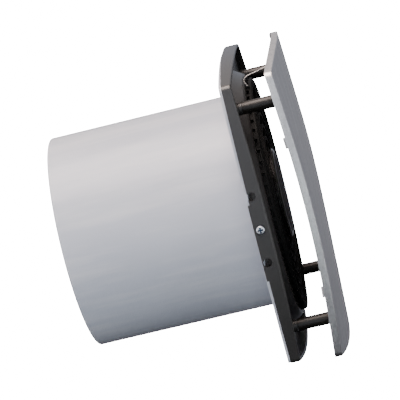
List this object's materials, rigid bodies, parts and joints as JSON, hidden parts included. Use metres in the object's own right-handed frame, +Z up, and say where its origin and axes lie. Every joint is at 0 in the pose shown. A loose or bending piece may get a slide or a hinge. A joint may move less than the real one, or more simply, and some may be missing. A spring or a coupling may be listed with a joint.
{
  "type": "bathroom extractor fan",
  "caption": "Wall extractor fan: round duct spigot with a motor and impeller, dark tray cover, ribbed inlet guard, and a bowed square metal panel held off on posts.",
  "frame": {"origin": "where the duct's axis meets the wall's surface, which is the back face of the wall flange", "axes": "+Y into the wall along the duct, -Y towards the room and the front panel, +Z up"},
  "size_m": [0.2154, 0.1743, 0.2148],
  "materials": {
    "duct_plastic": "satin",
    "cover_plastic": "satin",
    "guard_plastic": "gloss",
    "cap_plastic": "gloss",
    "post_plastic": "satin",
    "panel_metal": "brushed",
    "backing_plastic": "satin",
    "zinc": "zinc plated",
    "impeller_plastic": "satin",
    "carrier_plastic": "satin",
    "motor_steel": "zinc passivated",
    "shaft_steel": "ground",
    "lamination_steel": "varnished",
    "copper": "enamelled wire",
    "bronze": "sintered",
    "terminal_plastic": "satin",
    "grommet_rubber": "matt",
    "lead_plastic": "satin"
  },
  "bodies": {
    "fan_body": {"duct_body": "duct_plastic", "cover": "cover_plastic", "side_screws": "zinc", "inlet_guard": "guard_plastic", "centre_cap": "cap_plastic", "motor_carrier": "carrier_plastic", "motor_shell": "motor_steel", "motor_end_plate": "motor_steel", "motor_screws": "zinc", "stator_core": "lamination_steel", "stator_windings": "copper", "front_bush": "bronze", "rear_bush": "bronze", "terminal_block": "terminal_plastic", "terminal_screws": "zinc", "entry_grommet": "grommet_rubber", "tether": "lead_plastic", "tether_eyelet": "guard_plastic"},
    "rotor": {"impeller": "impeller_plastic", "impeller_nut": "zinc", "shaft": "shaft_steel", "rotor_core": "lamination_steel"},
    "panel": {"front_panel": "panel_metal", "panel_backing": "backing_plastic", "panel_posts": "post_plastic", "post_screws": "zinc", "tether_socket": "backing_plastic"}
  },
  "joints": [
    {"name": "impeller_spin", "type": "hinge", "parent": "fan_body", "child": "rotor", "pos_m": [0, 0.02, 0], "axis": [0, 1, 0], "continuous": true},
    {"name": "panel_pull", "type": "slide", "parent": "fan_body", "child": "panel", "axis": [0, -1, 0], "range_m": [0, 0.007]}
  ]
}
